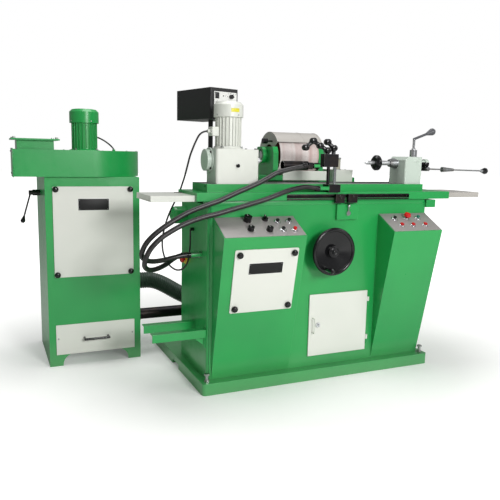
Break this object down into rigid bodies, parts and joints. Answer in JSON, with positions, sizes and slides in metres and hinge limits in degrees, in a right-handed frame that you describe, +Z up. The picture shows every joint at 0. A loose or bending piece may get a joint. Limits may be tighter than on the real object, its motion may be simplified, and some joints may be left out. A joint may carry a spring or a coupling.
{
  "type": "cot grinding machine",
  "caption": "Floor-standing cylindrical grinder for roller covers: long table with workhead and tailstock, hooded wheel head, sloping control panels and a dust collector with a blower.",
  "frame": {"origin": "floor level under the middle of the machine's plinth", "axes": "+X to the operator's right along the table, +Y to the back, +Z up"},
  "size_m": [2.6761, 1.3765, 1.504],
  "materials": {
    "green_paint": "gloss enamel",
    "dark_green": "gloss enamel",
    "white_paint": "semi-gloss enamel",
    "panel_grey": "satin",
    "grey_paint": "satin",
    "black_paint": "satin",
    "black_plastic": "gloss",
    "red_plastic": "gloss",
    "bright_steel": "brushed",
    "dark_steel": "ground",
    "black_rubber": "matte",
    "hose_green": "ribbed",
    "filter_cloth": "pleated cloth",
    "wheel_stone": "vitrified abrasive"
  },
  "bodies": {
    "machine": {"base_plinth": "green_paint", "levelling_screws": "bright_steel", "machine_body": "green_paint", "control_panels": "panel_grey", "access_covers": "white_paint", "cover_knobs": "black_plastic", "bracket_arms": "green_paint", "table_drive": "green_paint", "control_post": "black_paint", "collector_cabinet": "green_paint", "filter_cartridge": "filter_cloth", "blower_housing": "green_paint", "blower_motor": "green_paint", "duct_hose": "hose_green", "lower_pipe": "bright_steel", "upper_hose": "black_rubber", "lower_hose": "black_rubber", "motor_cable": "black_rubber", "blower_cable": "black_rubber"},
    "table": {"lower_table": "green_paint", "upper_table": "green_paint", "table_guards": "white_paint", "table_fittings": "black_paint", "workhead": "white_paint", "workhead_motor": "white_paint", "tailstock": "white_paint", "suction_post": "black_paint"},
    "wheel_head": {"wheel_slide": "green_paint", "spindle_housing": "white_paint", "wheel_guard": "white_paint", "wheel_motor": "dark_green"},
    "work_spindle_body": {"work_spindle": "dark_steel"},
    "quill_body": {"quill": "bright_steel"},
    "retract_lever_body": {"retract_lever": "bright_steel"},
    "clamp_lever_body": {"clamp_lever": "grey_paint"},
    "grinding_wheel_body": {"grinding_wheel": "wheel_stone"},
    "guard_knob_body": {"guard_knob": "black_plastic"},
    "handwheel_body": {"handwheel": "black_plastic"},
    "crank_handle_body": {"crank_handle": "black_plastic"},
    "door_body": {"door": "white_paint"},
    "door_lock_body": {"door_lock": "bright_steel"},
    "control_box_body": {"control_box": "black_paint"},
    "box_switch_body": {"box_switch": "black_plastic"},
    "box_knob_body": {"box_knob": "black_plastic"},
    "e_stop_body": {"e_stop": "red_plastic"},
    "impeller_body": {"impeller": "bright_steel"},
    "shaker_lever_body": {"shaker_lever": "black_plastic"},
    "drawer_body": {"drawer": "white_paint"},
    "reversing_lever_body": {"reversing_lever": "bright_steel"},
    "speed_knob_body": {"speed_knob": "black_plastic"},
    "mode_knob_body": {"mode_knob": "black_plastic"},
    "feed_knob_body": {"feed_knob": "black_plastic"},
    "dwell_knob_body": {"dwell_knob": "black_plastic"},
    "start_button_body": {"start_button": "black_plastic"},
    "jog_button_body": {"jog_button": "black_plastic"},
    "cycle_button_body": {"cycle_button": "black_plastic"},
    "stop_button_body": {"stop_button": "red_plastic"},
    "wheel_start_button_body": {"wheel_start_button": "black_plastic"},
    "wheel_stop_button_body": {"wheel_stop_button": "red_plastic"},
    "collector_button_body": {"collector_button": "black_plastic"}
  },
  "joints": [
    {"name": "table_slide", "type": "slide", "parent": "machine", "child": "table", "axis": [1, 0, 0], "range_m": [-0.1, 0.1], "deforming": ["upper_hose", "lower_hose", "motor_cable"]},
    {"name": "wheel_infeed", "type": "slide", "parent": "machine", "child": "wheel_head", "axis": [0, -1, 0], "range_m": [0, 0.063]},
    {"name": "handwheel_turn", "type": "hinge", "parent": "machine", "child": "handwheel_body", "pos_m": [0.015, -0.481, 0.688], "axis": [0, 1, 0], "range_deg": [0, 3600]},
    {"name": "crank_spin", "type": "hinge", "parent": "handwheel_body", "child": "crank_handle_body", "pos_m": [-0.04639, -0.508, 0.60654], "axis": [0, 1, 0], "continuous": true},
    {"name": "wheel_spin", "type": "hinge", "parent": "wheel_head", "child": "grinding_wheel_body", "pos_m": [-0.005, -0.02, 1.172], "axis": [1, 0, 0], "continuous": true},
    {"name": "guard_knob_turn", "type": "hinge", "parent": "wheel_head", "child": "guard_knob_body", "pos_m": [-0.17, -0.062, 1.248], "axis": [1, 0, 0], "continuous": true},
    {"name": "work_spindle_spin", "type": "hinge", "parent": "table", "child": "work_spindle_body", "pos_m": [-0.366, -0.285, 1.14205], "axis": [1, 0, 0], "continuous": true},
    {"name": "quill_slide", "type": "slide", "parent": "table", "child": "quill_body", "axis": [1, 0, 0], "range_m": [0, 0.015]},
    {"name": "retract_lever_swing", "type": "hinge", "parent": "table", "child": "retract_lever_body", "pos_m": [0.737, -0.285, 1.11205], "axis": [0, -1, 0], "range_deg": [0, 30]},
    {"name": "clamp_lever_swing", "type": "hinge", "parent": "table", "child": "clamp_lever_body", "pos_m": [0.605, -0.339, 1.218], "axis": [0, 0, 1], "range_deg": [-60, 60]},
    {"name": "box_swivel", "type": "hinge", "parent": "machine", "child": "control_box_body", "pos_m": [-0.5, -0.038, 1.348], "axis": [0, 0, 1], "range_deg": [-60, 60]},
    {"name": "box_switch_rock", "type": "hinge", "parent": "control_box_body", "child": "box_switch_body", "pos_m": [-0.51531, -0.15857, 1.466], "axis": [0.9659, 0.2588, 0], "range_deg": [-8, 8]},
    {"name": "box_knob_turn", "type": "hinge", "parent": "control_box_body", "child": "box_knob_body", "pos_m": [-0.4303, -0.14356, 1.464], "axis": [-0.2588, 0.9659, 0], "range_deg": [-150, 150]},
    {"name": "door_swing", "type": "hinge", "parent": "machine", "child": "door_body", "pos_m": [0.289, -0.4265, 0.2845], "axis": [0, 0, 1], "range_deg": [0, 100]},
    {"name": "door_lock_turn", "type": "hinge", "parent": "door_body", "child": "door_lock_body", "pos_m": [-0.026, -0.4276, 0.286], "axis": [0, 1, 0], "range_deg": [0, 90]},
    {"name": "reversing_lever_swing", "type": "hinge", "parent": "machine", "child": "reversing_lever_body", "pos_m": [0.124, -0.441, 0.88], "axis": [0, 1, 0], "range_deg": [-20, 20]},
    {"name": "drawer_slide", "type": "slide", "parent": "machine", "child": "drawer_body", "axis": [0, -1, 0], "range_m": [0, 0.3]},
    {"name": "shaker_swing", "type": "hinge", "parent": "machine", "child": "shaker_lever_body", "pos_m": [-1.349, 0.49, 0.935], "axis": [1, 0, 0], "range_deg": [-25, 25]},
    {"name": "impeller_spin", "type": "hinge", "parent": "machine", "child": "impeller_body", "pos_m": [-1.079, 0.476, 1.1], "axis": [0, 0, 1], "continuous": true},
    {"name": "e_stop_press", "type": "slide", "parent": "machine", "child": "e_stop_body", "axis": [1, 0, 0], "range_m": [0, 0.006], "stiffness_N_per_m": 600},
    {"name": "speed_knob_turn", "type": "hinge", "parent": "machine", "child": "speed_knob_body", "pos_m": [-0.459, -0.45325, 0.85209], "axis": [0, -0.4634, 0.8862], "range_deg": [-150, 150]},
    {"name": "mode_knob_turn", "type": "hinge", "parent": "machine", "child": "mode_knob_body", "pos_m": [-0.362, -0.44882, 0.85441], "axis": [0, -0.4634, 0.8862], "range_deg": [-60, 60]},
    {"name": "feed_knob_turn", "type": "hinge", "parent": "machine", "child": "feed_knob_body", "pos_m": [-0.469, -0.5206, 0.81688], "axis": [0, -0.4634, 0.8862], "range_deg": [-150, 150]},
    {"name": "dwell_knob_turn", "type": "hinge", "parent": "machine", "child": "dwell_knob_body", "pos_m": [-0.373, -0.52858, 0.81271], "axis": [0, -0.4634, 0.8862], "range_deg": [-150, 150]},
    {"name": "start_button_press", "type": "slide", "parent": "machine", "child": "start_button_body", "axis": [0, 0.4634, -0.8862], "range_m": [0, 0.005], "stiffness_N_per_m": 400},
    {"name": "jog_button_press", "type": "slide", "parent": "machine", "child": "jog_button_body", "axis": [0, 0.4634, -0.8862], "range_m": [0, 0.005], "stiffness_N_per_m": 400},
    {"name": "cycle_button_press", "type": "slide", "parent": "machine", "child": "cycle_button_body", "axis": [0, 0.4634, -0.8862], "range_m": [0, 0.005], "stiffness_N_per_m": 400},
    {"name": "stop_button_press", "type": "slide", "parent": "machine", "child": "stop_button_body", "axis": [0, 0.4634, -0.8862], "range_m": [0, 0.005], "stiffness_N_per_m": 400},
    {"name": "wheel_start_button_press", "type": "slide", "parent": "machine", "child": "wheel_start_button_body", "axis": [0, 0.4634, -0.8862], "range_m": [0, 0.005], "stiffness_N_per_m": 400},
    {"name": "wheel_stop_button_press", "type": "slide", "parent": "machine", "child": "wheel_stop_button_body", "axis": [0, 0.4634, -0.8862], "range_m": [0, 0.005], "stiffness_N_per_m": 400},
    {"name": "collector_button_press", "type": "slide", "parent": "machine", "child": "collector_button_body", "axis": [0, 0.4634, -0.8862], "range_m": [0, 0.005], "stiffness_N_per_m": 400}
  ],
  "couplings": [
    {"joint": "wheel_infeed", "follows": "handwheel_turn", "m_per_rad": 0.001},
    {"joint": "quill_slide", "follows": "retract_lever_swing", "m_per_rad": 0.028}
  ]
}
